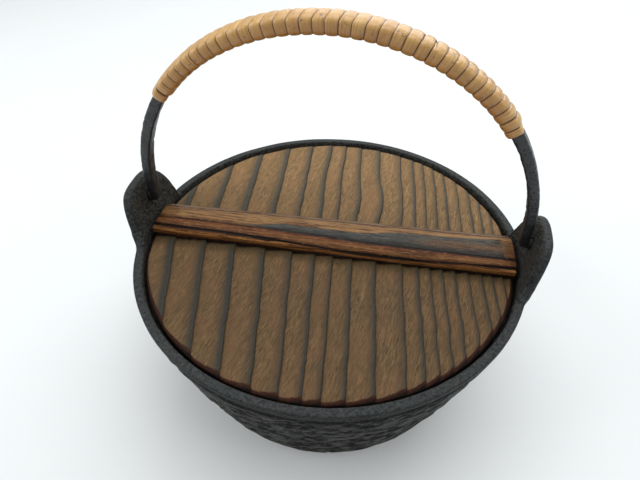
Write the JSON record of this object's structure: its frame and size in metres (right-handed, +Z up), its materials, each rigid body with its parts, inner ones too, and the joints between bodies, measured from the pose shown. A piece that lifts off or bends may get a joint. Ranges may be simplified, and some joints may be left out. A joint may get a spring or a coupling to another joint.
{
  "type": "hanging pot",
  "caption": "Cast-iron hanging pot with two rim ears, a swinging cane-bound steel bail and a lift-off round wooden lid with a raised batten.",
  "frame": {"origin": "centre of the flat base, on the surface the pot stands on", "axes": "+Z up, X along the ear-to-ear pivot line of the bail, the bail leans slightly towards -Y at rest"},
  "size_m": [0.2146, 0.1998, 0.2019],
  "materials": {
    "cast_iron": "seasoned, satin, hammered outside",
    "blackened_steel": "forged and blackened, satin",
    "cane": "natural glossy rind",
    "lid_softwood": "scorched and wire-brushed",
    "batten_hardwood": "scorched and rubbed"
  },
  "bodies": {
    "pot": {"pot_body": "cast_iron"},
    "handle": {"bail": "blackened_steel", "cane_strip_long": "cane", "cane_strip_short": "cane"},
    "lid": {"lid_board": "lid_softwood", "lid_batten": "batten_hardwood"}
  },
  "joints": [
    {"name": "bail_swing", "type": "hinge", "parent": "pot", "child": "handle", "pos_m": [0, 0, 0.098], "axis": [1, 0, 0], "range_deg": [-100, 87]},
    {"name": "lid_lift", "type": "slide", "parent": "pot", "child": "lid", "axis": [0, 0, 1], "range_m": [0, 0.005]}
  ]
}
